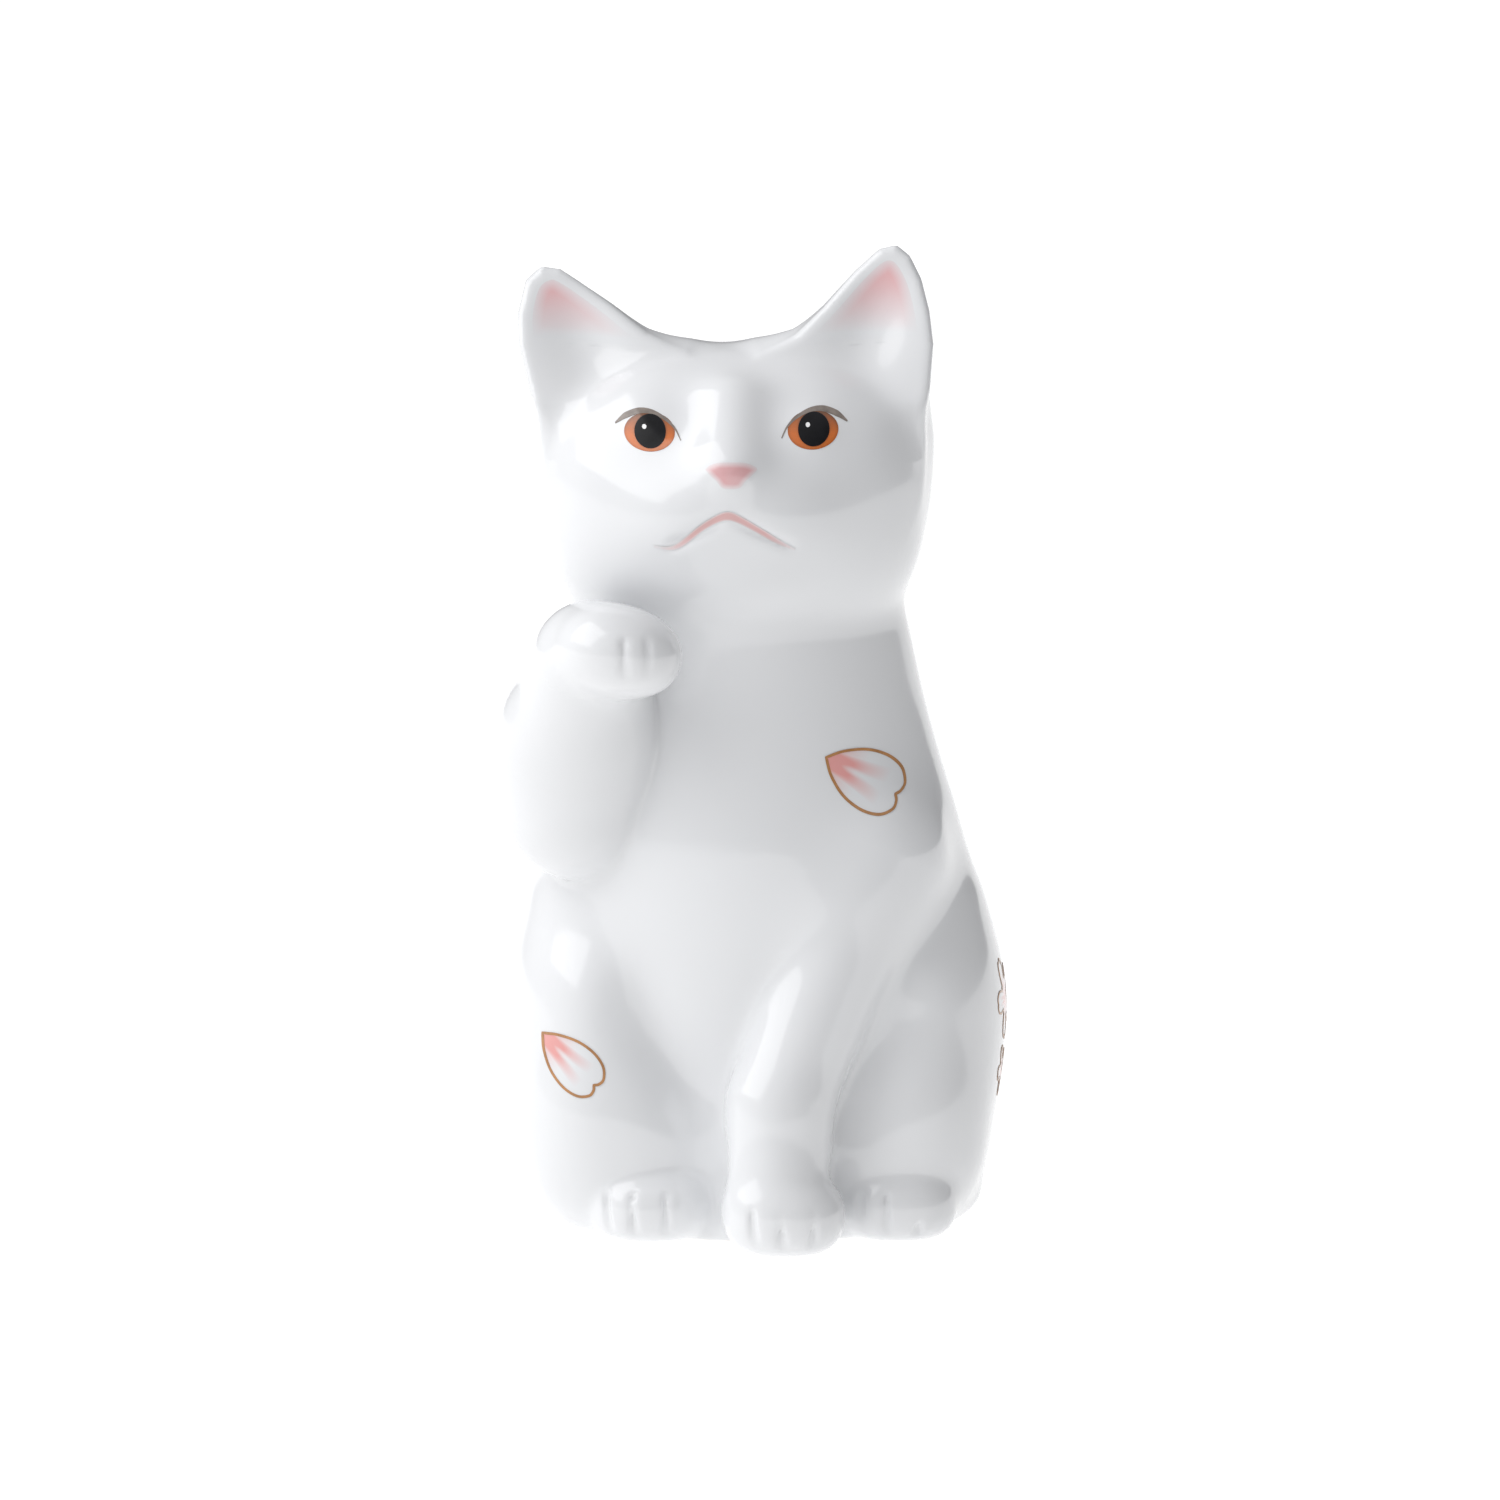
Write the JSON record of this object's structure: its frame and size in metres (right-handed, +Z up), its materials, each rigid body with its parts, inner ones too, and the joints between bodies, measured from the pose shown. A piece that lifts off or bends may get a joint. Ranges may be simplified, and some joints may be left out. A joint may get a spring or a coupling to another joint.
{
  "type": "beckoning cat figurine",
  "caption": "Seated porcelain cat with its right paw raised to beckon, amber eyes and gold-edged cherry petals; a static ornament that rests on its foot ring.",
  "frame": {"origin": "on the table, under the middle of the figure's bounding box", "axes": "+Z up, the cat faces -Y, +X towards the cat's left side"},
  "size_m": [0.086, 0.0915, 0.165],
  "materials": {
    "porcelain": "glossy clear glaze over white porcelain",
    "foot_disc": "unglazed bisque",
    "amber_enamel": "glossy fired enamel, dotted transfer",
    "black_enamel": "glossy fired enamel",
    "white_enamel": "glossy fired enamel",
    "lid_enamel": "glossy fired enamel",
    "pink_enamel": "glossy fired enamel, soft edges",
    "pale_pink_enamel": "glossy fired enamel, sprayed",
    "petal_enamel": "glossy fired enamel, pink streaks on white",
    "gold_line": "fired gold-brown line"
  },
  "bodies": {
    "root": {"body_casting": "porcelain", "head_casting": "porcelain", "ear_right": "porcelain", "ear_left": "porcelain", "beckoning_arm": "porcelain", "tail": "porcelain", "foot_disc": "foot_disc", "iris_right": "amber_enamel", "iris_left": "amber_enamel", "pupil_right": "black_enamel", "pupil_left": "black_enamel", "catchlight_right": "white_enamel", "catchlight_left": "white_enamel", "lid_line_right": "lid_enamel", "lid_line_left": "lid_enamel", "nose": "pink_enamel", "mouth_line": "pink_enamel", "ear_tint_right": "pale_pink_enamel", "ear_tint_left": "pale_pink_enamel", "chest_petal_tint": "petal_enamel", "knee_petal_tint": "petal_enamel", "blossom_tint": "petal_enamel", "lesser_blossom_tint": "petal_enamel", "chest_petal_edge": "gold_line", "knee_petal_edge": "gold_line", "blossom_edge": "gold_line", "lesser_blossom_edge": "gold_line"}
  },
  "joints": []
}
